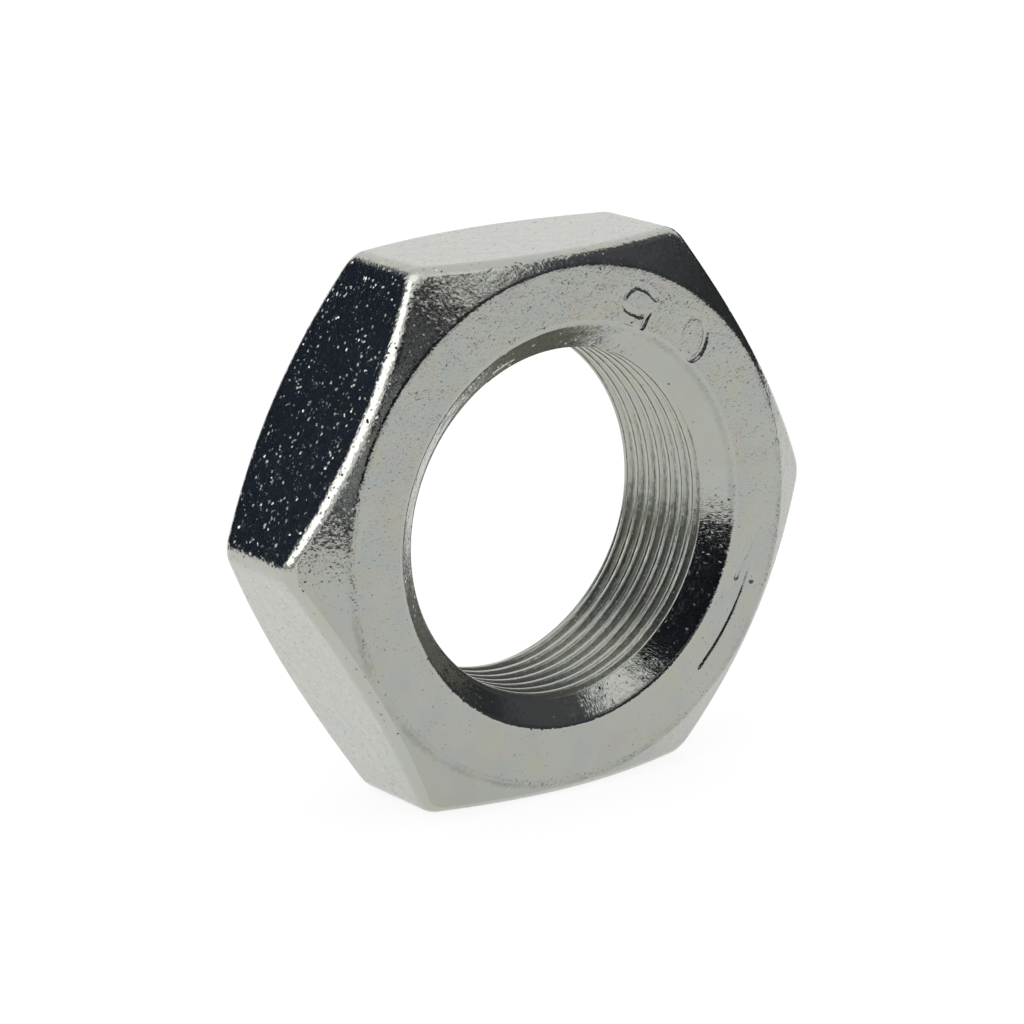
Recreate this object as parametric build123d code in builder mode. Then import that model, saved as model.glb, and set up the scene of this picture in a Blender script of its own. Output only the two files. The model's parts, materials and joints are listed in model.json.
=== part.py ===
"""Thin hexagon nut, chamfered on both faces, with a countersunk bore for a fine left-hand thread.

Millimetres. The nut stands on one of its flats, as it does on a bench: +Z is up, the thread's
axis is Y, and the face with the stamped marks looks along -Y. The origin is on the thread's
axis, halfway through the thickness. The bore is the smooth wall that the thread's crests leave.
"""

import os
from math import cos, radians, tan

from build123d import *

# The hexagon
across_flats = 45.0
thickness = 14.6
corner_radius = 1.85

# The chamfers that turn each face's hexagon into a round bearing surface
bearing_inset = 1.05
chamfer_angle = 33.0

# The thread, its tolerance at the crests, and the countersinks that lead a bolt in
thread_diameter = 30.0
thread_pitch = 1.5
crest_tolerance = 0.375
front_countersink_lip = 1.65
back_countersink_lip = 2.0
countersink_angle = 100.0

# Edges softened by forging, tumbling and plating
scallop_edge_break = 0.7
bearing_edge_radius = 1.0
countersink_edge_radius = 1.4

# Sizes that follow from the ones above
CREST_SHARE_OF_PITCH = 1.0825
crest_diameter = thread_diameter - CREST_SHARE_OF_PITCH * thread_pitch + crest_tolerance
front_countersink_diameter = thread_diameter + 2 * front_countersink_lip
back_countersink_diameter = thread_diameter + 2 * back_countersink_lip
bearing_radius = across_flats / 2 - bearing_inset
across_sharp_corners = across_flats / cos(radians(30))
front_face = -thickness / 2
back_face = thickness / 2
turning_radius = across_sharp_corners / 2 + corner_radius
chamfer_height = (turning_radius - bearing_radius) * tan(radians(chamfer_angle))

with BuildPart() as hexagon_nut:
    # Hexagon bar with its six long edges rounded: corners at each side, a flat above and below
    with BuildSketch(Plane.XZ) as hexagon:
        RegularPolygon(radius=across_flats / 2, side_count=6, major_radius=False)
        fillet(hexagon.vertices(), radius=corner_radius)
    extrude(amount=thickness / 2, both=True)

    # A turned disc with a cone on each side, which leaves a curved scallop on every flat
    with BuildSketch(Plane.XY) as turned_disc:
        with BuildLine() as half_section:
            Polyline(
                (0, front_face),
                (bearing_radius, front_face),
                (turning_radius, front_face + chamfer_height),
                (turning_radius, back_face - chamfer_height),
                (bearing_radius, back_face),
                (0, back_face),
                close=True,
            )
        make_face()
    revolve(axis=Axis.Y, mode=Mode.INTERSECT)

    # The scallops' edges, all round the flats and the rounded corners
    sides = hexagon_nut.faces().filter_by(lambda face: abs(face.normal_at().Y) < 0.001)
    scallops = sides.edges().filter_by(Axis.Y, reverse=True)
    chamfer(scallops, length=scallop_edge_break)

    # The round edge of each bearing face
    bearing_faces = hexagon_nut.faces().filter_by(Axis.Y)
    fillet(bearing_faces.edges(), radius=bearing_edge_radius)

    # The bore, countersunk from both faces
    front_mouth = Plane(origin=(0, front_face, 0), x_dir=(1, 0, 0), z_dir=(0, -1, 0))
    back_mouth = Plane(origin=(0, back_face, 0), x_dir=(1, 0, 0), z_dir=(0, 1, 0))
    for mouth, countersink_diameter in (
        (front_mouth, front_countersink_diameter),
        (back_mouth, back_countersink_diameter),
    ):
        with Locations(mouth):
            CounterSinkHole(
                radius=crest_diameter / 2,
                counter_sink_radius=countersink_diameter / 2,
                depth=thickness,
                counter_sink_angle=countersink_angle,
            )

    # The lip where each countersink meets its bearing face: the inner edge of each face
    mouths = hexagon_nut.faces().filter_by(Axis.Y).edges().filter_by(GeomType.CIRCLE)
    lips = mouths.filter_by(lambda edge: edge.radius < bearing_radius - bearing_edge_radius)
    fillet(lips, radius=countersink_edge_radius)

hexagon_nut.part.label = "hexagon_nut"

os.makedirs("parts", exist_ok=True)
export_step(hexagon_nut.part, "parts/hexagon_nut.step")
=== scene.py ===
"""Looks of a zinc-plated hexagon thin nut with a fine left-hand thread.

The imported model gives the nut's frame and its outer sizes. This script models the nut once more with
what the plain solid leaves out: the helical thread, the stamped marks, the soft edges and the
grain of the plating. Shapes are worked out in millimetres and become metres in the meshes.
The thread's axis is Y, the marked face looks along -Y, and an angle in a face is measured from +X
towards +Z.
"""

import json
import logging
from dataclasses import dataclass, field
from enum import IntEnum
from math import atan2, cos, exp, hypot, pi, radians, sin, tan
from typing import Any

import bmesh
import bpy
from mathutils import Matrix, Vector
from mathutils.kdtree import KDTree


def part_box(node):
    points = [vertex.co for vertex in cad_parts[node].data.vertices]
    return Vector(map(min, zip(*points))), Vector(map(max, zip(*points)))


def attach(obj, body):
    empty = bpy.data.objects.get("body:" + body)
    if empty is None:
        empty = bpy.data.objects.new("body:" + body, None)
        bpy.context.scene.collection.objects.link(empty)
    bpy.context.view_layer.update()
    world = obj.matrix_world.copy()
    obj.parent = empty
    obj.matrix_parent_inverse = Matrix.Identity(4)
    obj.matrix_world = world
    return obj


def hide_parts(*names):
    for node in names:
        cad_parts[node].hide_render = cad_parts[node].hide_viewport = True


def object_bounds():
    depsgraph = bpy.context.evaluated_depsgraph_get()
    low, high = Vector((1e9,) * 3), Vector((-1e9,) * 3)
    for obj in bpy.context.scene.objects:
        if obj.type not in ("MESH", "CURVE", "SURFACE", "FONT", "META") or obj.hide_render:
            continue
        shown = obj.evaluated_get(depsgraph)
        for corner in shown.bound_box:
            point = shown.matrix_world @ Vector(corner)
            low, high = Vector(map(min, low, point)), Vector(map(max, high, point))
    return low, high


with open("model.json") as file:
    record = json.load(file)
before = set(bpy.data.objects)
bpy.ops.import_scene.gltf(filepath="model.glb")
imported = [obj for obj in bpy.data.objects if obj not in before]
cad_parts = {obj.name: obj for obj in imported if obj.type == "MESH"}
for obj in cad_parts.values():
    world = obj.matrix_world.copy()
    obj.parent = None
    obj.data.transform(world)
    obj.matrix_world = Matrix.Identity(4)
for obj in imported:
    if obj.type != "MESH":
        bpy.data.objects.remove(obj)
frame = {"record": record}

LOG = logging.getLogger("hexagon_nut")
MM = 0.001
NODE = "hexagon_nut"
CAD_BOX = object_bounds()
OVAL_POINTS = 24
ARC_POINTS = 12
SPECK_COLOR = (0.05, 0.055, 0.05)
# colour towards which the ragged rings at the lip, the bearing edge and the chamfer are darkened
DARKER_RING_COLOR = (0.1, 0.105, 0.095)

Point = tuple[float, float]
Color = tuple[float, float, float]


class Zone(IntEnum):
    """Surfaces that were made by different tools, in the order of the nut's material slots."""

    BEARING = 0
    CHAMFER = 1
    FLAT = 2
    COUNTERSINK = 3
    THREAD = 4


def polar(angle: float, radius: float, height: float) -> Vector:
    """Place of a point round the thread's axis.

    Args:
        angle: Angle from +X towards +Z, in radians.
        radius: Distance from the axis, in millimetres.
        height: Place along the axis, in millimetres.

    Returns:
        The point in metres.
    """
    return Vector((radius * cos(angle), height, radius * sin(angle))) * MM


def round_corner(before: Point, corner: Point, after: Point, radius: float, steps: int) -> list[Point]:
    """Arc that rounds one corner of a path.

    Args:
        before: A point on the path before the corner.
        corner: The sharp corner.
        after: A point on the path after the corner.
        radius: Radius of the arc.
        steps: Number of chords that stand for the arc.

    Returns:
        The arc's points, from the first tangent point to the last.
    """
    at = Vector(corner)
    incoming = (Vector(before) - at).normalized()
    outgoing = (Vector(after) - at).normalized()
    half_turn = incoming.angle(-outgoing) / 2
    centre = at + (incoming + outgoing).normalized() * radius / cos(half_turn)
    start = at + incoming * radius * tan(half_turn) - centre
    turn = start.angle_signed(at + outgoing * radius * tan(half_turn) - centre)
    points = []
    for step in range(steps + 1):
        spoke = start.copy()
        spoke.rotate(Matrix.Rotation(-turn * step / steps, 2))
        points.append(tuple(centre + spoke))
    return points


def divide(start: Point, end: Point, spans: int, margin: float) -> list[Point]:
    """Points inside a straight run, with one close to each end so that its shading stays flat.

    Args:
        start: First end of the run, which isn't repeated.
        end: Last end of the run, which isn't repeated.
        spans: Number of even spans between the two margins.
        margin: Distance from each end to the nearest point.

    Returns:
        The points between the ends.
    """
    first, last = Vector(start), Vector(end)
    edge = min(0.2, margin / (last - first).length)
    return [tuple(first.lerp(last, edge + (1 - 2 * edge) * step / spans)) for step in range(spans + 1)]


@dataclass(frozen=True)
class FaceForm:
    """One end face: its round bearing surface, the cone around it and the mouth of its countersink."""

    bearing_radius: float
    chamfer_angle: float
    mouth_radius: float


@dataclass(frozen=True)
class NutSizes:
    """Sizes of the nut, in millimetres and degrees."""

    half_thickness: float
    apothem: float
    reach: float
    crest_radius: float
    front: FaceForm = FaceForm(bearing_radius=21.45, chamfer_angle=33.0, mouth_radius=16.65)
    back: FaceForm = FaceForm(bearing_radius=21.45, chamfer_angle=33.0, mouth_radius=17.0)
    major_radius: float = 15.0
    pitch: float = 1.5
    crest_phase: float = -1.24
    countersink_half_angle: float = 50.0
    lip_round: float = 0.7
    bearing_round: float = 0.7
    scallop_round: float = 1.5
    core_clearance: float = 0.25

    @classmethod
    def from_frame(cls) -> "NutSizes":
        """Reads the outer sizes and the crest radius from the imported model.

        Returns:
            The sizes.
        """
        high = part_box(NODE)[1] / MM
        thread = next(m for m in frame["record"]["mounts"] if m["name"] == "thread")
        return cls(high.y, high.z, high.x, thread["dims"]["r_mm"])

    @property
    def sharp_reach(self) -> float:
        """Radius of the corners before they are rounded."""
        return self.apothem / cos(radians(30))

    @property
    def corner_round(self) -> float:
        """Radius of the six upright edges."""
        return (self.sharp_reach - self.reach) / (1 / cos(radians(30)) - 1)


@dataclass
class NutBlank:
    """The nut before tapping: a rounded hexagon whose ends are turned, chamfered and countersunk.

    Attributes:
        sizes: The nut's sizes.
        corner_steps: Chords across each rounded corner of the hexagon.
        side_cuts: Cuts along each side of the hexagon.
        arc_steps: Chords across each rounded edge of the section.
        run_spans: Spans along the section's countersink, bearing face and chamfer.
        flat_spans: Spans from a scallop to the middle of the flat.
        edge_margin: Distance from a rounded edge to the nearest point on the flat run beside it.
    """

    sizes: NutSizes
    corner_steps: int = 8
    side_cuts: int = 40
    arc_steps: int = 5
    run_spans: tuple[int, int, int] = (4, 10, 8)
    flat_spans: int = 5
    edge_margin: float = 0.05

    def face_section(self, face: FaceForm, reach: float) -> list[tuple[Point, Zone]]:
        """Section of one end, from the bore to the middle of a flat.

        Args:
            face: The end's form.
            reach: Distance from the axis to the outside of the hexagon at this section.

        Returns:
            Points as (radius, depth below the face), each with the zone that ends there.
        """
        sizes = self.sizes
        bore = sizes.crest_radius - sizes.core_clearance
        sink = tan(radians(sizes.countersink_half_angle))
        corners = [
            (bore, (face.mouth_radius - bore) / sink),
            (face.mouth_radius, 0.0),
            (face.bearing_radius, 0.0),
            (reach, (reach - face.bearing_radius) * tan(radians(face.chamfer_angle))),
            (reach, sizes.half_thickness),
        ]
        rounds = (sizes.lip_round, sizes.bearing_round, sizes.scallop_round)
        arc_zones = (Zone.COUNTERSINK, Zone.CHAMFER, Zone.FLAT)
        run_zones = (Zone.COUNTERSINK, Zone.BEARING, Zone.CHAMFER)
        section = [(corners[0], Zone.COUNTERSINK)]
        for index, radius in enumerate(rounds):
            arc = round_corner(*corners[index : index + 3], radius, self.arc_steps)
            run = divide(section[-1][0], arc[0], self.run_spans[index], self.edge_margin)
            section += [(point, run_zones[index]) for point in run]
            section += [(arc[0], run_zones[index])]
            section += [(point, arc_zones[index]) for point in arc[1:]]
        run = divide(section[-1][0], corners[-1], self.flat_spans, self.edge_margin)
        section += [(point, Zone.FLAT) for point in run]
        return section

    def section(self, reach: float) -> list[tuple[Point, Zone]]:
        """Closed section of the nut, from the front of the bore round to it again.

        Args:
            reach: Distance from the axis to the outside of the hexagon at this section.

        Returns:
            Points as (radius, height), each with the zone that ends there.
        """
        half = self.sizes.half_thickness
        front = [((r, d - half), zone) for (r, d), zone in self.face_section(self.sizes.front, reach)]
        back = [((r, half - d), zone) for (r, d), zone in self.face_section(self.sizes.back, reach)]
        back_zones = [Zone.FLAT, *(zone for _, zone in reversed(back[1:]))]
        turned = [(point, zone) for (point, _), zone in zip(reversed(back), back_zones)]
        return front + turned + [(front[0][0], Zone.THREAD)]

    def build(self) -> bmesh.types.BMesh:
        """Extrudes the hexagon's outline round the whole section.

        Returns:
            A closed mesh, with the zone of each face as its material.
        """
        sizes = self.sizes
        bm = bmesh.new()
        turn = Matrix.Rotation(radians(90), 4, "X") @ Matrix.Rotation(radians(30), 4, "Z")
        bmesh.ops.create_circle(bm, cap_ends=True, segments=6, radius=sizes.sharp_reach * MM, matrix=turn)
        bmesh.ops.bevel(
            bm, geom=bm.verts[:], offset=sizes.corner_round * tan(radians(30)) * MM, offset_type="OFFSET",
            affect="VERTICES", segments=self.corner_steps, profile=0.5, material=-1,
        )
        sides = [edge for edge in bm.edges if edge.calc_length() > sizes.apothem * MM / 2]
        bmesh.ops.subdivide_edges(bm, edges=sides, cuts=self.side_cuts)
        bmesh.ops.delete(bm, geom=bm.faces[:], context="FACES_ONLY")
        station = bm.verts.layers.int.new("station")
        angles, sections = [], []
        for index, vert in enumerate(bm.verts):
            vert[station] = index
            angles.append(atan2(vert.co.z, vert.co.x))
            sections.append(self.section(hypot(vert.co.x, vert.co.z) / MM))
        ring_verts, ring_edges = bm.verts[:], bm.edges[:]
        for ring, (_, zone) in enumerate(sections[0]):
            if ring:
                grown = bmesh.ops.extrude_edge_only(bm, edges=ring_edges)["geom"]
                ring_verts = [item for item in grown if isinstance(item, bmesh.types.BMVert)]
                ring_edges = [
                    item for item in grown if isinstance(item, bmesh.types.BMEdge) and item.is_boundary
                ]
                for face in {face for edge in ring_edges for face in edge.link_faces}:
                    face.material_index = zone
            for vert in ring_verts:
                index = vert[station]
                vert.co = polar(angles[index], *sections[index][ring][0])
        bmesh.ops.remove_doubles(bm, verts=bm.verts[:], dist=MM * 1e-3)
        bmesh.ops.recalc_face_normals(bm, faces=bm.faces[:])
        bm.verts.layers.int.remove(bm.verts.layers.int["station"])
        return bm


@dataclass
class TapCutter:
    """The threaded rod that is cut out of the bore, with the thread's crests and roots on it.

    Attributes:
        sizes: The nut's sizes.
        steps_per_turn: Chords in one turn of the helix.
        spare_turns: Turns beyond the nut's thickness, which the two end cuts take off.
        flank_angle: Angle of each flank, in degrees.
        root_flat: Width of the thread's root before it is rounded.
        crest_round: Radius of the crests' edges.
        root_round: Radius of the roots' edges.
        round_steps: Chords across each rounded edge.
    """

    sizes: NutSizes
    steps_per_turn: int = 160
    spare_turns: int = 4
    flank_angle: float = 30.0
    root_flat: float = 0.32
    crest_round: float = 0.3
    root_round: float = 0.24
    round_steps: int = 3

    def profile(self) -> list[Point]:
        """One pitch of the thread, from the middle of a crest to the next.

        Returns:
            Points as (radius, height).
        """
        sizes = self.sizes
        rise = (sizes.major_radius - sizes.crest_radius) * tan(radians(self.flank_angle))
        half_pitch = sizes.pitch / 2
        corners = [
            (sizes.crest_radius, -half_pitch),
            (sizes.crest_radius, -rise - self.root_flat / 2),
            (sizes.major_radius, -self.root_flat / 2),
            (sizes.major_radius, self.root_flat / 2),
            (sizes.crest_radius, rise + self.root_flat / 2),
            (sizes.crest_radius, half_pitch),
        ]
        radii = (self.crest_round, self.root_round, self.root_round, self.crest_round)
        points = [corners[0]]
        for index, radius in enumerate(radii):
            arc = round_corner(*corners[index : index + 3], radius, self.round_steps)
            if index in (1, 3):
                points += divide(points[-1], arc[0], 1, self.root_flat / 4)
            points += arc
        return points + [corners[-1]]

    def build(self) -> bmesh.types.BMesh:
        """Winds the profile round the axis, left-handed, and closes the ends.

        Returns:
            The closed rod.
        """
        sizes = self.sizes
        turns = round(2 * sizes.half_thickness / sizes.pitch) + self.spare_turns
        start = sizes.crest_phase + sizes.pitch / 2 - sizes.pitch * turns / 2
        bm = bmesh.new()
        verts = [bm.verts.new(polar(0, radius, start + height)) for radius, height in self.profile()]
        edges = [bm.edges.new(pair) for pair in zip(verts, verts[1:])]
        bmesh.ops.spin(
            bm, geom=verts + edges, cent=(0, 0, 0), axis=(0, -1, 0), angle=2 * pi,
            steps=self.steps_per_turn, dvec=(0, sizes.pitch * MM / self.steps_per_turn, 0),
            use_merge=False,
        )
        first_turn = bm.verts[:] + bm.edges[:] + bm.faces[:]
        for turn in range(1, turns):
            copied = bmesh.ops.duplicate(bm, geom=first_turn)["geom"]
            shifted = [item for item in copied if isinstance(item, bmesh.types.BMVert)]
            bmesh.ops.translate(bm, verts=shifted, vec=(0, sizes.pitch * turn * MM, 0))
        bmesh.ops.remove_doubles(bm, verts=bm.verts[:], dist=MM * 2e-3)
        for end in (-1, 1):
            bmesh.ops.bisect_plane(
                bm, geom=bm.verts[:] + bm.edges[:] + bm.faces[:], dist=MM * 1e-4,
                plane_co=(0, end * sizes.half_thickness * MM, 0), plane_no=(0, end, 0), clear_outer=True,
            )
        bmesh.ops.holes_fill(bm, edges=[edge for edge in bm.edges if edge.is_boundary], sides=0)
        bmesh.ops.recalc_face_normals(bm, faces=bm.faces[:])
        for face in bm.faces:
            face.material_index = Zone.THREAD
        return bm


@dataclass(frozen=True)
class Stroke:
    """One line struck into the marked face.

    Attributes:
        points: Control points as (x, z, depth), in millimetres.
        half_width: Half the width of the groove.
        wall: Share of the half width that each wall takes, beside the flat bottom.
    """

    points: tuple[tuple[float, float, float], ...]
    half_width: float = 0.16
    wall: float = 1.0

    def samples(self, spacing: float) -> list[Vector]:
        """Points along a smooth curve through the control points.

        Args:
            spacing: Largest distance between two points.

        Returns:
            Vectors of x, z and depth.
        """
        knots = [Vector(point) for point in self.points]
        knots = [2 * knots[0] - knots[1], *knots, 2 * knots[-1] - knots[-2]]
        found = []
        for before, start, end, after in zip(knots, knots[1:], knots[2:], knots[3:]):
            steps = max(1, round((end - start).length / spacing))
            for step in range(steps + 1):
                t = step / steps
                bend = (end - before) * t + (2 * before - 5 * start + 4 * end - after) * t**2
                found.append(start + (bend + (3 * start - before - 3 * end + after) * t**3) / 2)
        return found


def ellipse(centre: Point, radii: Point, turn: float, depths: Point, side: float, **form: float) -> Stroke:
    """Closed oval stroke that is struck deeper on one side.

    Args:
        centre: Middle of the oval.
        radii: Half its length and half its width.
        turn: Direction of its length, in degrees.
        depths: Depth on the shallow side and on the deep side.
        side: Direction of the deep side, in degrees.
        form: Half width and wall of the stroke.

    Returns:
        The stroke.
    """
    points = []
    deepest = Vector((cos(radians(side)), sin(radians(side))))
    for step in range(OVAL_POINTS + 1):
        around = 2 * pi * step / OVAL_POINTS
        spoke = Vector((radii[0] * cos(around), radii[1] * sin(around)))
        spoke.rotate(Matrix.Rotation(radians(turn), 2))
        facing = max(0.0, cos(spoke.angle_signed(deepest)))
        depth = depths[0] + (depths[1] - depths[0]) * facing
        points.append((centre[0] + spoke.x, centre[1] + spoke.y, depth))
    return Stroke(tuple(points), **form)


def concentric(radius: float, angles: Point, depths: Point, half_width: float) -> Stroke:
    """Stroke along a circle round the thread's axis.

    Args:
        radius: Radius of the circle.
        angles: First and last angle, in degrees.
        depths: Depth at each of them.
        half_width: Half the width of the stroke.

    Returns:
        The stroke.
    """
    points = []
    for step in range(ARC_POINTS + 1):
        share = step / ARC_POINTS
        turn = radians(angles[0] + (angles[1] - angles[0]) * share)
        depth = depths[0] + (depths[1] - depths[0]) * share**2
        points.append((radius * cos(turn), radius * sin(turn), depth))
    return Stroke(tuple(points), half_width)


@dataclass
class StampedFace:
    """The marks on the front: two numerals, the arrow of a left-hand thread and a few knocks.

    Attributes:
        sizes: The nut's sizes.
        refine_cuts: Cuts across each face near a stroke.
        reach: Distance from a stroke's middle to which it moves the surface.
        spare_reach: How much farther the faces are refined.
        sample_spacing: Distance between the points that stand for a stroke.
        skin: Depth to which a point counts as part of the face.
        rim_height: Height of the raised rim, as a share of the stroke's depth.
    """

    sizes: NutSizes
    refine_cuts: int = 5
    reach: float = 0.66
    spare_reach: float = 0.25
    sample_spacing: float = 0.04
    skin: float = 0.02
    rim_height: float = 0.06

    def strokes(self) -> list[Stroke]:
        """Every stroke of the marks, in the front face.

        Returns:
            The strokes.
        """
        zero = ellipse((12.26, 13.77), (1.78, 1.32), 77.0, (0.02, 0.17), -42.0, half_width=0.33, wall=0.5)
        five_bowl = Stroke((
            (8.55, 17.62, 0.17), (8.1, 18.1, 0.12), (7.5, 18.55, 0.13), (6.65, 18.88, 0.11),
            (5.95, 18.65, 0.08), (5.48, 18.2, 0.05), (5.38, 17.65, 0.03), (5.62, 17.2, 0.08),
            (6.2, 16.8, 0.13), (6.9, 16.47, 0.12), (7.4, 16.35, 0.03),
        ), half_width=0.31, wall=0.4)
        five_stem = Stroke((
            (7.88, 16.5, 0.06), (7.5, 16.0, 0.12), (7.2, 15.5, 0.15), (6.95, 15.2, 0.14),
        ), half_width=0.26, wall=0.6)
        five_bar = Stroke((
            (6.8, 15.3, 0.05), (6.0, 15.75, 0.05), (5.1, 16.1, 0.035), (4.3, 16.3, 0.01),
        ), half_width=0.24)
        dot = Stroke(((6.02, 16.0, 0.09), (6.08, 16.02, 0.09)), half_width=0.13)
        shaft = concentric(19.15, (-46.5, -18.0), (0.14, 0.02), 0.14)
        tail = Stroke(((12.65, -14.4, 0.1), (12.95, -14.18, 0.15), (13.2, -13.87, 0.12)), half_width=0.18)
        inner_barb = Stroke((
            (18.9, -3.6, 0.01), (17.9, -5.3, 0.03), (17.2, -6.3, 0.03), (16.7, -7.25, 0.1),
        ), half_width=0.3, wall=0.8)
        outer_barb = Stroke(((18.5, -4.9, 0.02), (18.5, -6.3, 0.03), (18.25, -7.8, 0.05)), 0.2)
        knocks = ((16.6, -7.35), (18.2, -7.93))
        blobs = [Stroke(((x, z, 0.16), (x + 0.15, z + 0.04, 0.16)), half_width=0.2) for x, z in knocks]
        return [zero, five_bowl, five_stem, five_bar, dot, shaft, tail, inner_barb, outer_barb, *blobs]

    def strike(self, bm: bmesh.types.BMesh) -> None:
        """Refines the front face round each stroke and pushes the strokes into it.

        Args:
            bm: The blank, which is changed.
        """
        samples = []
        for stroke in self.strokes():
            samples += [(point, stroke) for point in stroke.samples(self.sample_spacing)]
        tree = KDTree(len(samples))
        for index, (point, _) in enumerate(samples):
            tree.insert((point.x, point.y, 0), index)
        tree.balance()
        near = []
        for face in bm.faces:
            centre = face.calc_center_median() / MM
            distance = tree.find((centre.x, centre.z, 0))[2]
            if face.normal.y < -0.99 and distance < self.reach + self.spare_reach:
                near.append(face)
        edges = list({edge for face in near for edge in face.edges})
        bmesh.ops.subdivide_edges(bm, edges=edges, cuts=self.refine_cuts, use_grid_fill=True)
        for vert in bm.verts:
            if vert.co.y / MM > self.skin - self.sizes.half_thickness:
                continue
            _, index, distance = tree.find((vert.co.x / MM, vert.co.z / MM, 0))
            if distance < self.reach:
                point, stroke = samples[index]
                vert.co.y += self.groove(distance / stroke.half_width, stroke.wall) * point.z * MM

    def groove(self, offset: float, wall: float) -> float:
        """Cross-section of a stroke.

        Args:
            offset: Distance from the stroke's middle, in half widths.
            wall: Share of the half width that the wall takes.

        Returns:
            Share of the stroke's depth, which is below 0 on the raised rim.
        """
        cut = min(1.0, max(0.0, 1 - offset) / wall)
        rim = exp(-(((offset - 1.35) / 0.3) ** 2))
        return cut**1.3 - self.rim_height * rim


def make_object(name: str, bm: bmesh.types.BMesh) -> bpy.types.Object:
    """Turns a bmesh into an object of the scene, at the origin, and frees it.

    Args:
        name: Name of the object and its mesh.
        bm: The bmesh.

    Returns:
        The object.
    """
    mesh = bpy.data.meshes.new(name)
    bm.to_mesh(mesh)
    bm.free()
    piece = bpy.data.objects.new(name, mesh)
    bpy.context.scene.collection.objects.link(piece)
    return piece


class Sheet:
    """Adds nodes to a node tree and joins them."""

    def __init__(self, tree: bpy.types.NodeTree) -> None:
        """Starts on a tree."""
        self.tree = tree

    def add(self, kind: str, inputs: dict[str | int, Any] | None = None, **settings: Any) -> bpy.types.Node:
        """Adds a node.

        Args:
            kind: The node's type.
            inputs: For each input, the socket that feeds it or its value.
            settings: The node's own settings.

        Returns:
            The node.
        """
        node = self.tree.nodes.new(kind)
        for name, value in settings.items():
            setattr(node, name, value)
        for name, value in (inputs or {}).items():
            if isinstance(value, bpy.types.NodeSocket):
                self.tree.links.new(value, node.inputs[name])
            else:
                node.inputs[name].default_value = value
        return node

    def math(self, operation: str, *values: Any, clamp: bool = False) -> bpy.types.NodeSocket:
        """Result of one Math node on sockets or numbers."""
        node = self.add("ShaderNodeMath", dict(enumerate(values)), operation=operation, use_clamp=clamp)
        return node.outputs[0]

    def vector(self, operation: str, *values: Any, out: str = "Vector") -> bpy.types.NodeSocket:
        """Result of one Vector Math node on sockets or vectors."""
        return self.add("ShaderNodeVectorMath", dict(enumerate(values)), operation=operation).outputs[out]

    def noise(self, place: Any, scale: Any, detail: Any, rough: float = 0.5, **fourth: Any) -> Any:
        """Value of a Noise texture at a place, which may have a fourth coordinate, W."""
        inputs = {"Vector": place, "Scale": scale, "Detail": detail, "Roughness": rough, **fourth}
        return self.add("ShaderNodeTexNoise", inputs, noise_dimensions="4D" if fourth else "3D").outputs[0]

    def ramp(self, value: Any, low: float, high: float) -> bpy.types.NodeSocket:
        """Soft step of a value from 0 at one number to 1 at the other."""
        limits = {"Value": value, "From Min": low, "From Max": high}
        return self.add("ShaderNodeMapRange", limits, interpolation_type="SMOOTHSTEP").outputs["Result"]

    def blend(self, share: Any, first: Any, second: Any, mode: str = "MIX") -> bpy.types.NodeSocket:
        """Colour between two colours.

        Args:
            share: Share of the second colour, from 0 to 1.
            first: First colour, or the socket that gives it.
            second: Second colour, or the socket that gives it.
            mode: How the two are blended.

        Returns:
            The colour's socket.
        """
        node = self.add("ShaderNodeMix", {"Factor": share}, data_type="RGBA", blend_type=mode)
        for name, value in ((6, first), (7, second)):
            if isinstance(value, bpy.types.NodeSocket):
                self.tree.links.new(value, node.inputs[name])
            else:
                node.inputs[name].default_value = (*value, 1.0)
        return node.outputs[2]


def start_group(name: str, numbers: dict[str, float], result: str, kind: str) -> tuple[Sheet, Any, Any]:
    """Makes an empty shader node group that reads a place in millimetres.

    Args:
        name: Name of the group.
        numbers: Its other inputs and their defaults.
        result: Name of its output.
        kind: Socket type of its output.

    Returns:
        The sheet to add nodes with, the group's input node and its output node.
    """
    tree = bpy.data.node_groups.new(name, "ShaderNodeTree")
    tree.interface.new_socket("Place", in_out="INPUT", socket_type="NodeSocketVector")
    for label, value in numbers.items():
        socket = tree.interface.new_socket(label, in_out="INPUT", socket_type="NodeSocketFloat")
        socket.default_value = value
    tree.interface.new_socket(result, in_out="OUTPUT", socket_type=kind)
    sheet = Sheet(tree)
    return sheet, sheet.add("NodeGroupInput").outputs, sheet.add("NodeGroupOutput")


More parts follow.
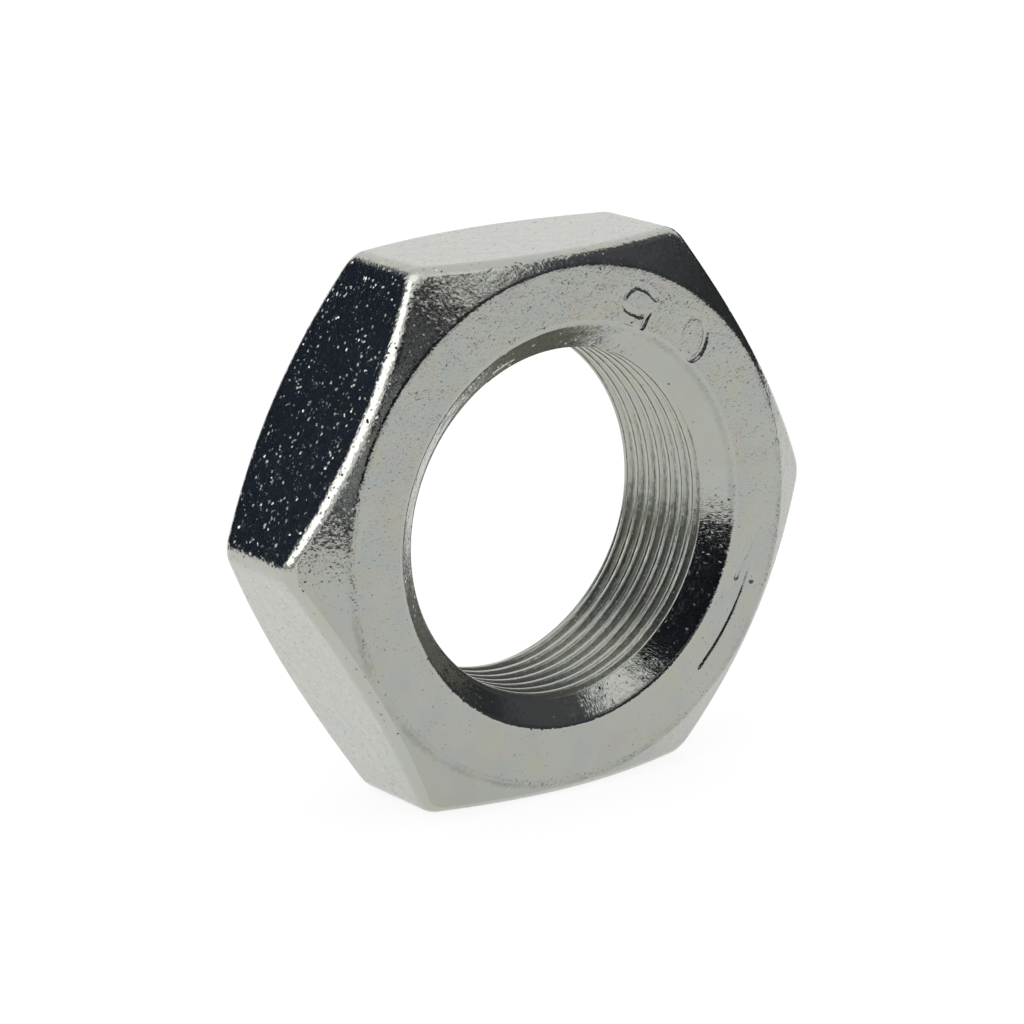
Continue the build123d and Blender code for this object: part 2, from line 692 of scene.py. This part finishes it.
@dataclass
class PlatingEffects:
    """Node groups that every zone's material shares.

    Attributes:
        nominal_radius: Radius at which the grain has the given scale round the axis.
    """

    nominal_radius: float = 20.0

    def build(self) -> dict[str, bpy.types.NodeTree]:
        """Makes the groups and returns them by name."""
        trees = (self.grain(), self.specks(), self.dots(), self.darker_ring(), self.spangle(), self.tint())
        return {tree.name: tree for tree in trees}

    def split(self, sheet: Sheet, place: Any) -> tuple[Any, Any, Any]:
        """Splits a place into its parts round the thread's axis.

        Args:
            sheet: The sheet that the nodes go on.
            place: The place's socket.

        Returns:
            Sockets of the unit spoke, the radius and the height.
        """
        parts = sheet.add("ShaderNodeSeparateXYZ", {0: place}).outputs
        flat = sheet.add("ShaderNodeCombineXYZ", {"X": parts["X"], "Y": 0.0, "Z": parts["Z"]}).outputs[0]
        return sheet.vector("NORMALIZE", flat), sheet.vector("LENGTH", flat, out="Value"), parts["Y"]

    def grain(self) -> bpy.types.NodeTree:
        """Height of a grain that runs round the axis or away from it.

        Returns:
            The group's tree.
        """
        numbers = {"Round": 1.0, "Along": 1.0, "Deep": 1.0, "Detail": 2.0}
        sheet, given, result = start_group("polar_grain", numbers, "Height", "NodeSocketFloat")
        spoke, radius, height = self.split(sheet, given["Place"])
        reach = sheet.math("MULTIPLY", given["Round"], self.nominal_radius)
        around = sheet.add("ShaderNodeVectorMath", {0: spoke, "Scale": reach}, operation="SCALE").outputs[0]
        across = sheet.math("MULTIPLY", radius, given["Along"])
        deep = sheet.math("MULTIPLY", height, given["Deep"])
        deep = sheet.add("ShaderNodeCombineXYZ", {"Y": deep}).outputs[0]
        noise = sheet.noise(sheet.vector("ADD", around, deep), 1.0, given["Detail"], W=across)
        sheet.tree.links.new(noise, result.inputs["Height"])
        return sheet.tree

    def specks(self) -> bpy.types.NodeTree:
        """Mask of small ragged specks, gathered in patches and along one circle round the axis.

        Returns:
            The group's tree.
        """
        numbers = {"Scale": 4.0, "Level": 0.7, "Radius": self.nominal_radius, "Width": 0.6, "Gain": 0.2}
        sheet, given, result = start_group("specks", numbers, "Mask", "NodeSocketFloat")
        place = given["Place"]
        radius = self.split(sheet, place)[1]
        offset = sheet.math("ABSOLUTE", sheet.math("SUBTRACT", radius, given["Radius"]))
        near = sheet.ramp(sheet.math("DIVIDE", offset, given["Width"]), 1.0, 0.0)
        arcs = sheet.ramp(sheet.noise(place, 0.22, 3.0), 0.34, 0.62)
        gathered = sheet.math("MULTIPLY", sheet.math("MULTIPLY", near, arcs), given["Gain"])
        patches = sheet.math("MULTIPLY_ADD", sheet.noise(place, 0.4, 2.0), 0.3, gathered)
        excess = sheet.math("ADD", sheet.noise(place, given["Scale"], 2.0), patches)
        mask = sheet.ramp(sheet.math("SUBTRACT", excess, given["Level"]), 0.15, 0.2)
        sheet.tree.links.new(mask, result.inputs["Mask"])
        return sheet.tree

    def dots(self) -> bpy.types.NodeTree:
        """Round profile of small scattered dots, each of its own size, from 0 beside them to 1 on top.

        Returns:
            The group's tree.
        """
        numbers = {"Scale": 2.0, "Share": 0.5, "Size": 0.3}
        sheet, given, result = start_group("scattered_dots", numbers, "Mask", "NodeSocketFloat")
        spots = {"Vector": given["Place"], "Scale": given["Scale"]}
        cells = sheet.add("ShaderNodeTexVoronoi", spots).outputs
        lot = sheet.add("ShaderNodeSeparateColor", {0: cells["Color"]}).outputs[0]
        missing = sheet.math("SUBTRACT", 1.0, given["Share"])
        size = sheet.math("DIVIDE", sheet.math("SUBTRACT", lot, missing), given["Share"])
        size = sheet.math("MAXIMUM", sheet.math("MULTIPLY", size, given["Size"]), 0.001)
        away = sheet.math("DIVIDE", cells["Distance"], size)
        dome = sheet.math("SUBTRACT", 1.0, sheet.math("MULTIPLY", away, away), clamp=True)
        sheet.tree.links.new(sheet.math("MULTIPLY", dome, size), result.inputs["Mask"])
        return sheet.tree

    def darker_ring(self) -> bpy.types.NodeTree:
        """Mask of a ragged ring round the axis, along which the zinc's colour is made darker.

        Returns:
            The group's tree.
        """
        numbers = {"Radius": self.nominal_radius, "Width": 0.5}
        sheet, given, result = start_group("darker_ring_mask", numbers, "Mask", "NodeSocketFloat")
        place = given["Place"]
        ragged = sheet.math("SUBTRACT", sheet.noise(place, 2.5, 4.0, rough=0.65), 0.5)
        radius = sheet.math("MULTIPLY_ADD", ragged, 0.9, self.split(sheet, place)[1])
        offset = sheet.math("ABSOLUTE", sheet.math("SUBTRACT", radius, given["Radius"]))
        near = sheet.ramp(sheet.math("DIVIDE", offset, given["Width"]), 1.0, 0.0)
        arcs = sheet.ramp(sheet.noise(place, 0.25, 3.0), 0.32, 0.6)
        sheet.tree.links.new(sheet.math("MULTIPLY", near, arcs), result.inputs["Mask"])
        return sheet.tree

    def spangle(self) -> bpy.types.NodeTree:
        """Normal of a surface of tiny crystal faces, most of them nearly level and a few tilted.

        Returns:
            The group's tree.
        """
        numbers = {"Scale": 5.0, "Tilt": 0.3, "Rarity": 2.0}
        sheet, given, result = start_group("crystal_spangle", numbers, "Normal", "NodeSocketVector")
        sheet.tree.interface.new_socket("Level", in_out="INPUT", socket_type="NodeSocketVector")
        spots = {"Vector": given["Place"], "Scale": given["Scale"]}
        cells = sheet.add("ShaderNodeTexVoronoi", spots).outputs
        lean = sheet.vector("SUBTRACT", cells["Color"], (0.5, 0.5, 0.5))
        share = sheet.math("MULTIPLY", sheet.vector("LENGTH", lean, out="Value"), 1.4)
        share = sheet.math("MULTIPLY", sheet.math("POWER", share, given["Rarity"]), given["Tilt"])
        lean = sheet.add("ShaderNodeVectorMath", {0: lean, "Scale": share}, operation="SCALE").outputs[0]
        normal = sheet.vector("NORMALIZE", sheet.vector("ADD", given["Level"], lean))
        sheet.tree.links.new(normal, result.inputs["Normal"])
        return sheet.tree

    def tint(self) -> bpy.types.NodeTree:
        """Faint patches of colour that clear passivation leaves on zinc.

        Returns:
            The group's tree.
        """
        numbers = {"Strength": 1.0}
        sheet, given, result = start_group("passivation_tint", numbers, "Color", "NodeSocketColor")
        color = (1.0, 1.0, 1.0)
        patches = (
            ((1.0, 0.93, 0.97), 0.33, 11.0), ((1.02, 1.0, 0.88), 0.27, 37.0), ((0.92, 0.97, 1.02), 0.3, 71.0),
        )
        for tone, scale, offset in patches:
            place = sheet.vector("ADD", given["Place"], (offset,) * 3)
            share = sheet.ramp(sheet.noise(place, scale, 3.0), 0.46, 0.7)
            color = sheet.blend(sheet.math("MULTIPLY", share, given["Strength"]), color, tone)
        sheet.tree.links.new(color, result.inputs["Color"])
        return sheet.tree


@dataclass(frozen=True)
class ZincFinish:
    """Bright zinc on steel, as one tool and the plating bath left it. Lengths are in millimetres.

    Attributes:
        zone: The surface that has this finish.
        color: Colour of the zinc.
        roughness: Roughness of the clean metal, and speck_roughness is what a speck adds to it.
        tint: Strength of the passivation's patches of colour.
        wave_relief: Height of the broad waves, and wave_scale their number to a millimetre.
        peel_relief: Height of the fine grain, whose scale is peel_round round the axis, peel_along
            away from it and peel_deep along it, with detail as its number of octaves.
        speck_level: Level above which specks show, with speck_scale, speck_depth and speck_shade.
        ring_radius: Circle along which specks gather, with ring_width and ring_gain.
        dot_scale: Scale of the scattered dots, with dot_share, dot_size, dot_relief and dot_shade.
        scratch_relief: Height of the scratches, with their scales round, away from and along the
            axis, and the band of the noise in which they rise.
        crystal_scale: Scale of the crystals, with the tilt of the steepest and the level ones' rarity.
        darker_rings: Ragged rings as (radius, width, strength), along which the colour is made darker.
    """

    zone: Zone
    color: Color = (0.415, 0.42, 0.39)
    roughness: float = 0.14
    speck_roughness: float = 0.15
    tint: float = 0.5
    wave_relief: float = 0.2
    wave_scale: float = 0.7
    peel_relief: float = 0.05
    peel_round: float = 5.0
    peel_along: float = 4.0
    peel_deep: float = 4.0
    detail: float = 2.0
    speck_scale: float = 4.5
    speck_level: float = 0.73
    speck_depth: float = 0.012
    speck_shade: float = 0.5
    ring_radius: float = 0.0
    ring_width: float = 0.6
    ring_gain: float = 0.0
    dot_scale: float = 2.2
    dot_share: float = 0.6
    dot_size: float = 0.35
    dot_relief: float = 0.1
    dot_shade: float = 0.0
    scratch_relief: float = 0.0
    scratch_scales: tuple[float, float, float] = (0.3, 2.5, 5.0)
    scratch_band: Point = (0.68, 0.76)
    crystal_scale: float = 5.0
    crystal_tilt: float = 0.5
    crystal_rarity: float = 1.5
    darker_rings: tuple[tuple[float, float, float], ...] = ()

    def group(self, sheet: Sheet, tree: bpy.types.NodeTree, place: Any, **numbers: float) -> Any:
        """Output of one of the shared groups, placed with this finish's numbers."""
        inputs = {"Place": place, **{name.capitalize(): value for name, value in numbers.items()}}
        return sheet.add("ShaderNodeGroup", inputs, node_tree=tree).outputs[0]

    def build(self, groups: dict[str, bpy.types.NodeTree]) -> bpy.types.Material:
        """Makes the zone's material.

        Args:
            groups: The shared node groups.

        Returns:
            The material.
        """
        material = bpy.data.materials.new(f"zinc_{self.zone.name.lower()}")
        material.use_nodes = True
        material.node_tree.nodes.clear()
        sheet = Sheet(material.node_tree)
        place = sheet.add("ShaderNodeTexCoord").outputs["Object"]
        place = sheet.add("ShaderNodeMapping", {"Vector": place, "Scale": (1 / MM,) * 3}).outputs[0]
        peel = self.group(
            sheet, groups["polar_grain"], place,
            round=self.peel_round, along=self.peel_along, deep=self.peel_deep, detail=self.detail,
        )
        specks = self.group(
            sheet, groups["specks"], place, scale=self.speck_scale, level=self.speck_level,
            radius=self.ring_radius, width=self.ring_width, gain=self.ring_gain,
        )
        height = sheet.math("MULTIPLY", peel, self.peel_relief)
        wave = sheet.noise(place, self.wave_scale, 1.0)
        height = sheet.math("MULTIPLY_ADD", wave, self.wave_relief, height)
        height = sheet.math("MULTIPLY_ADD", specks, -self.speck_depth, height)
        dots = self.group(
            sheet, groups["scattered_dots"], place,
            scale=self.dot_scale, share=self.dot_share, size=self.dot_size,
        )
        height = sheet.math("MULTIPLY_ADD", dots, self.dot_relief, height)
        if self.scratch_relief:
            scales = dict(zip(("round", "along", "deep"), self.scratch_scales))
            lines = self.group(sheet, groups["polar_grain"], place, **scales, detail=0.0)
            lines = sheet.ramp(lines, *self.scratch_band)
            height = sheet.math("MULTIPLY_ADD", lines, self.scratch_relief, height)
        bump = sheet.add("ShaderNodeBump", {"Height": height, "Distance": MM, "Strength": 1.0})
        crystals = {"Place": place, "Scale": self.crystal_scale, "Tilt": self.crystal_tilt}
        crystals |= {"Rarity": self.crystal_rarity, "Level": bump.outputs["Normal"]}
        normal = sheet.add("ShaderNodeGroup", crystals, node_tree=groups["crystal_spangle"]).outputs[0]
        tint = self.group(sheet, groups["passivation_tint"], place, strength=self.tint)
        color = sheet.blend(1.0, self.color, tint, mode="MULTIPLY")
        shade = sheet.math("MULTIPLY", specks, self.speck_shade)
        shade = sheet.math("MULTIPLY_ADD", dots, self.dot_shade, shade, clamp=True)
        color = sheet.blend(shade, color, SPECK_COLOR)
        # darkens the colour along ragged rings at the edges of the faces
        for radius, width, strength in self.darker_rings:
            ring = self.group(sheet, groups["darker_ring_mask"], place, radius=radius, width=width)
            color = sheet.blend(sheet.math("MULTIPLY", ring, strength), color, DARKER_RING_COLOR)
        rough = sheet.math("MULTIPLY_ADD", specks, self.speck_roughness, self.roughness)
        shader = sheet.add(
            "ShaderNodeBsdfPrincipled",
            {"Base Color": color, "Metallic": 1.0, "Roughness": rough, "Normal": normal},
        )
        sheet.add("ShaderNodeOutputMaterial", {"Surface": shader.outputs[0]})
        return material


FINISHES = (
    ZincFinish(
        Zone.BEARING, color=(0.39, 0.4, 0.367), roughness=0.2, tint=0.8, wave_relief=0.05, peel_relief=0.03,
        ring_radius=21.4, ring_gain=0.16, speck_level=0.71, dot_scale=1.6, dot_share=0.35, dot_size=0.16,
        dot_relief=-0.12, dot_shade=4.0, darker_rings=((16.6, 0.3, 0.25), (21.45, 0.5, 0.35)),
        crystal_tilt=0.15, crystal_rarity=3.0,
    ),
    ZincFinish(
        Zone.CHAMFER, color=(0.385, 0.395, 0.362), roughness=0.17, wave_relief=0.05, peel_relief=0.032,
        peel_round=4.0, ring_radius=21.4, ring_gain=0.16, dot_scale=1.8, dot_share=0.35, dot_size=0.15,
        dot_relief=-0.08, dot_shade=3.0, darker_rings=((21.6, 0.4, 0.3),),
        crystal_scale=6.0, crystal_tilt=0.2, crystal_rarity=3.0,
    ),
    ZincFinish(
        Zone.FLAT, color=(0.445, 0.455, 0.415), roughness=0.17, wave_relief=0.05, peel_relief=0.032,
        peel_round=4.0, speck_shade=0.2, speck_depth=0.006, dot_scale=1.6, dot_share=0.3, dot_size=0.12,
        dot_relief=0.03, scratch_relief=0.003, crystal_scale=5.0, crystal_tilt=0.5, crystal_rarity=9.0,
    ),
    ZincFinish(
        Zone.COUNTERSINK, color=(0.395, 0.405, 0.372), roughness=0.13, wave_relief=0.04, peel_relief=0.018,
        peel_along=3.0, ring_radius=16.5, ring_width=0.4, ring_gain=0.1, speck_depth=0.006, dot_scale=1.6,
        dot_share=0.2, dot_size=0.14, dot_relief=-0.04, dot_shade=2.0, darker_rings=((16.4, 0.35, 0.2),),
        crystal_tilt=0.16, crystal_rarity=6.0,
    ),
    ZincFinish(
        Zone.THREAD, color=(0.43, 0.44, 0.395), roughness=0.27, wave_relief=0.04, peel_round=1.0,
        peel_deep=6.0, peel_along=6.0, peel_relief=0.02, dot_relief=0.0, crystal_scale=6.0,
        crystal_tilt=0.08, crystal_rarity=3.0,
    ),
)


@dataclass(frozen=True)
class Panel:
    """A card round the nut that shows only in reflections, in degrees seen from the nut.

    Attributes:
        name: Name of the card.
        azimuths: First and last azimuth, 0 in front of the marked face and 90 on the right.
        elevations: First and last elevation.
        glow: The card's colour as light.
        distance: Distance from the nut's middle, in millimetres.
        rows: Faces from the card's foot to its top.
        columns: Faces from its left to its right.
    """

    name: str
    azimuths: Point
    elevations: Point
    glow: Color
    distance: float = 450.0
    rows: int = 16
    columns: int = 32

    def build(self) -> bpy.types.Object:
        """Spins a point into an arc and the arc into a card.

        Returns:
            The card.
        """
        bm = bmesh.new()
        low, high = (radians(value) for value in self.elevations)
        first, last = (radians(value) for value in self.azimuths)
        start = Vector((0, -cos(low), sin(low))) * self.distance * MM
        point = bm.verts.new(start)
        upwards = {"cent": (0, 0, 0), "axis": (-1, 0, 0), "angle": high - low, "steps": self.rows}
        bmesh.ops.spin(bm, geom=[point], **upwards)
        bmesh.ops.rotate(bm, verts=bm.verts[:], cent=(0, 0, 0), matrix=Matrix.Rotation(first, 3, "Z"))
        arc = bm.verts[:] + bm.edges[:]
        sideways = {"cent": (0, 0, 0), "axis": (0, 0, 1), "angle": last - first, "steps": self.columns}
        bmesh.ops.spin(bm, geom=arc, **sideways)
        bmesh.ops.remove_doubles(bm, verts=bm.verts[:], dist=MM * 1e-3)
        card = make_object(self.name, bm)
        card.visible_camera = False
        card.visible_diffuse = False
        card.visible_shadow = False
        material = bpy.data.materials.new(self.name)
        material.use_nodes = True
        material.node_tree.nodes.clear()
        sheet = Sheet(material.node_tree)
        glow = sheet.add("ShaderNodeEmission", {"Color": (*self.glow, 1.0), "Strength": 1.0})
        sheet.add("ShaderNodeOutputMaterial", {"Surface": glow.outputs[0]})
        card.data.materials.append(material)
        return card


@dataclass
class Studio:
    """White floor and surroundings, the cards round the nut and the camera.

    Attributes:
        floor_size: Side of the floor, in metres.
        floor_paint: Paleness of the floor in the light that it gives back to the nut.
        floor_shade: Paleness of the layer that takes the nut's shadow where the floor is seen.
        floor_glow: Light of the white that lies under that layer.
        cards: The cards.
        camera_azimuth: Azimuth of the camera, in degrees, with its elevation and its roll.
        camera_distance: Distance of the camera from the nut's middle, in millimetres.
        aim: How far the camera is moved right and up, in millimetres.
        lens: Focal length in millimetres, with the sensor's width.
        nearest: Distance from the camera at which the picture starts, in metres.
    """

    floor_size: float = 4.0
    floor_paint: float = 0.8
    floor_shade: float = 0.2
    floor_glow: float = 0.85
    cards: tuple[Panel, ...] = (
        Panel("dark_card_camera", (-50.0, 5.0), (-7.0, 45.0), (0.012, 0.014, 0.022), distance=200.0),
        Panel("dark_card_camera_top", (-50.0, -1.0), (45.0, 52.0), (0.012, 0.014, 0.022), distance=200.0),
        Panel("grey_card_near_low", (-47.0, -33.5), (5.0, 22.0), (0.46, 0.47, 0.49), distance=80.0),
        Panel("grey_card_near_middle", (-38.0, -26.0), (22.0, 34.0), (0.42, 0.43, 0.45), distance=79.0),
        Panel("grey_card_near_high", (-28.0, -16.0), (34.0, 44.0), (0.22, 0.23, 0.25), distance=78.0),
        Panel("dark_card_middle", (5.0, 24.0), (-2.5, 31.0), (0.03, 0.032, 0.04)),
        Panel("pale_card_middle", (4.0, 27.0), (31.0, 46.0), (0.5, 0.5, 0.5), distance=440.0),
        Panel("grey_card_low", (24.0, 87.0), (-2.5, 25.0), (0.072, 0.077, 0.092)),
        Panel("dark_card_right", (74.0, 86.0), (-7.0, 20.0), (0.045, 0.047, 0.056), distance=150.0),
        Panel("grey_card_high", (27.0, 88.0), (25.0, 45.0), (0.115, 0.12, 0.135)),
        Panel("grey_card_top", (38.0, 92.0), (45.0, 57.0), (0.08, 0.085, 0.095)),
        Panel("pale_card_border", (87.0, 96.0), (-2.5, 45.0), (0.15, 0.155, 0.16)),
        Panel("pale_card_edge", (96.0, 101.0), (-2.5, 20.0), (0.4, 0.41, 0.4)),
        Panel("dark_card_left_rear", (-180.0, -128.0), (-2.8, 41.0), (0.012, 0.02, 0.04)),
        Panel("bright_card_left", (-120.0, -72.0), (8.0, 58.0), (2.6, 2.6, 2.65)),
        Panel("dark_card_right_near", (84.0, 128.0), (4.0, 30.0), (0.035, 0.037, 0.04), distance=70.0),
        Panel("grey_card_left_low", (-125.0, -60.0), (-2.5, 13.0), (0.35, 0.36, 0.37), distance=440.0),
        Panel("bright_card_gap", (1.0, 34.0), (46.0, 62.0), (1.25, 1.25, 1.25)),
        Panel("bright_card_overhead", (-150.0, -20.0), (58.0, 80.0), (1.8, 1.8, 1.85)),
    )
    camera_azimuth: float = -35.412
    camera_elevation: float = 15.47
    camera_roll: float = -1.063
    camera_distance: float = 345.9
    aim: Point = (-0.7, -0.3003)
    lens: float = 148.69
    sensor_width: float = 36.0
    nearest: float = 0.01

    def build(self) -> None:
        """Sets the stage round the nut."""
        bpy.context.scene.view_settings.view_transform = "Standard"
        self.build_floor()
        self.build_world()
        self.build_camera()
        for card in self.cards:
            card.build()

    def build_floor(self) -> None:
        """Lays a white floor that still takes the nut's shadow."""
        bm = bmesh.new()
        bmesh.ops.create_grid(bm, x_segments=1, y_segments=1, size=self.floor_size / 2)
        bmesh.ops.translate(bm, verts=bm.verts[:], vec=(0, 0, CAD_BOX[0].z))
        floor = make_object("floor", bm)
        material = bpy.data.materials.new("white_floor")
        material.use_nodes = True
        material.node_tree.nodes.clear()
        sheet = Sheet(material.node_tree)
        rays = sheet.add("ShaderNodeLightPath").outputs
        seen = sheet.math("MAXIMUM", rays["Is Camera Ray"], rays["Is Glossy Ray"])
        seen = sheet.math("MAXIMUM", seen, rays["Is Transmission Ray"])
        paint, shade = (
            sheet.add("ShaderNodeBsdfDiffuse", {"Color": (pale, pale, pale, 1.0)}).outputs[0]
            for pale in (self.floor_paint, self.floor_shade)
        )
        glow = sheet.add("ShaderNodeEmission", {"Strength": self.floor_glow}).outputs[0]
        white = sheet.add("ShaderNodeAddShader", {0: shade, 1: glow}).outputs[0]
        mixed = sheet.add("ShaderNodeMixShader", {0: seen, 1: paint, 2: white}).outputs[0]
        sheet.add("ShaderNodeOutputMaterial", {"Surface": mixed})
        floor.data.materials.append(material)

    def build_world(self) -> None:
        """Makes the surroundings white."""
        world = bpy.data.worlds.new("white_studio")
        world.use_nodes = True
        world.node_tree.nodes["Background"].inputs["Color"].default_value = (1.0, 1.0, 1.0, 1.0)
        world.node_tree.nodes["Background"].inputs["Strength"].default_value = 1.0
        bpy.context.scene.world = world

    def build_camera(self) -> None:
        """Puts the camera where the photograph was taken from."""
        azimuth, elevation = radians(self.camera_azimuth), radians(self.camera_elevation)
        back = Vector((sin(azimuth) * cos(elevation), -cos(azimuth) * cos(elevation), sin(elevation)))
        turn = back.to_track_quat("Z", "Y").to_matrix().to_4x4()
        turn = turn @ Matrix.Rotation(radians(self.camera_roll), 4, "Z")
        offset = turn @ Vector((*self.aim, self.camera_distance))
        data = bpy.data.cameras.new("camera")
        data.lens = self.lens
        data.sensor_width = self.sensor_width
        data.clip_start = self.nearest
        camera = bpy.data.objects.new("camera", data)
        camera.matrix_world = Matrix.Translation(offset * MM) @ turn
        bpy.context.scene.collection.objects.link(camera)
        bpy.context.scene.camera = camera


@dataclass
class HexagonNut:
    """The whole nut: blank, thread, marks and finish.

    Attributes:
        sizes: The nut's sizes.
        sharp_angle: Angle above which an edge is shaded sharp, in degrees.
    """

    sizes: NutSizes = field(default_factory=NutSizes.from_frame)
    sharp_angle: float = 38.0

    def build(self) -> bpy.types.Object:
        """Models the nut and puts it in the frame.

        Returns:
            The finished piece.
        """
        blank = NutBlank(self.sizes).build()
        StampedFace(self.sizes).strike(blank)
        nut = make_object("hexagon_thin_nut", blank)
        cutter = make_object("tap", TapCutter(self.sizes).build())
        groups = PlatingEffects().build()
        for finish in FINISHES:
            material = finish.build(groups)
            nut.data.materials.append(material)
            cutter.data.materials.append(material)
        self.cut(nut, cutter)
        self.smooth(nut)
        return nut

    def smooth(self, nut: bpy.types.Object) -> None:
        """Shades the nut smooth, apart from its sharp edges, with large faces kept flat.

        Args:
            nut: The nut.
        """
        bm = bmesh.new()
        bm.from_mesh(nut.data)
        for face in bm.faces:
            face.smooth = True
        for edge in bm.edges:
            edge.smooth = edge.calc_face_angle(pi) < radians(self.sharp_angle)
        bm.to_mesh(nut.data)
        bm.free()
        weighted = nut.modifiers.new("flat_faces", "WEIGHTED_NORMAL")
        weighted.keep_sharp = True

    def cut(self, nut: bpy.types.Object, cutter: bpy.types.Object) -> None:
        """Takes the cutter out of the nut and then out of the scene.

        Args:
            nut: The blank, which is changed.
            cutter: The threaded rod.
        """
        boolean = nut.modifiers.new("tapping", "BOOLEAN")
        boolean.operation = "DIFFERENCE"
        boolean.solver = "MANIFOLD"
        boolean.object = cutter
        depsgraph = bpy.context.evaluated_depsgraph_get()
        tapped = bpy.data.meshes.new_from_object(nut.evaluated_get(depsgraph))
        nut.modifiers.clear()
        nut.data = tapped
        bpy.data.objects.remove(cutter)


def main() -> None:
    """Builds the nut and the studio around it, and reports each piece."""
    logging.basicConfig(level=logging.INFO, format="%(name)s: %(message)s")
    nut = HexagonNut().build()
    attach(nut, "root")
    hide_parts(NODE)
    LOG.info("%s: %d faces", nut.name, len(nut.data.polygons))
    Studio().build()


if __name__ == "__main__":
    main()
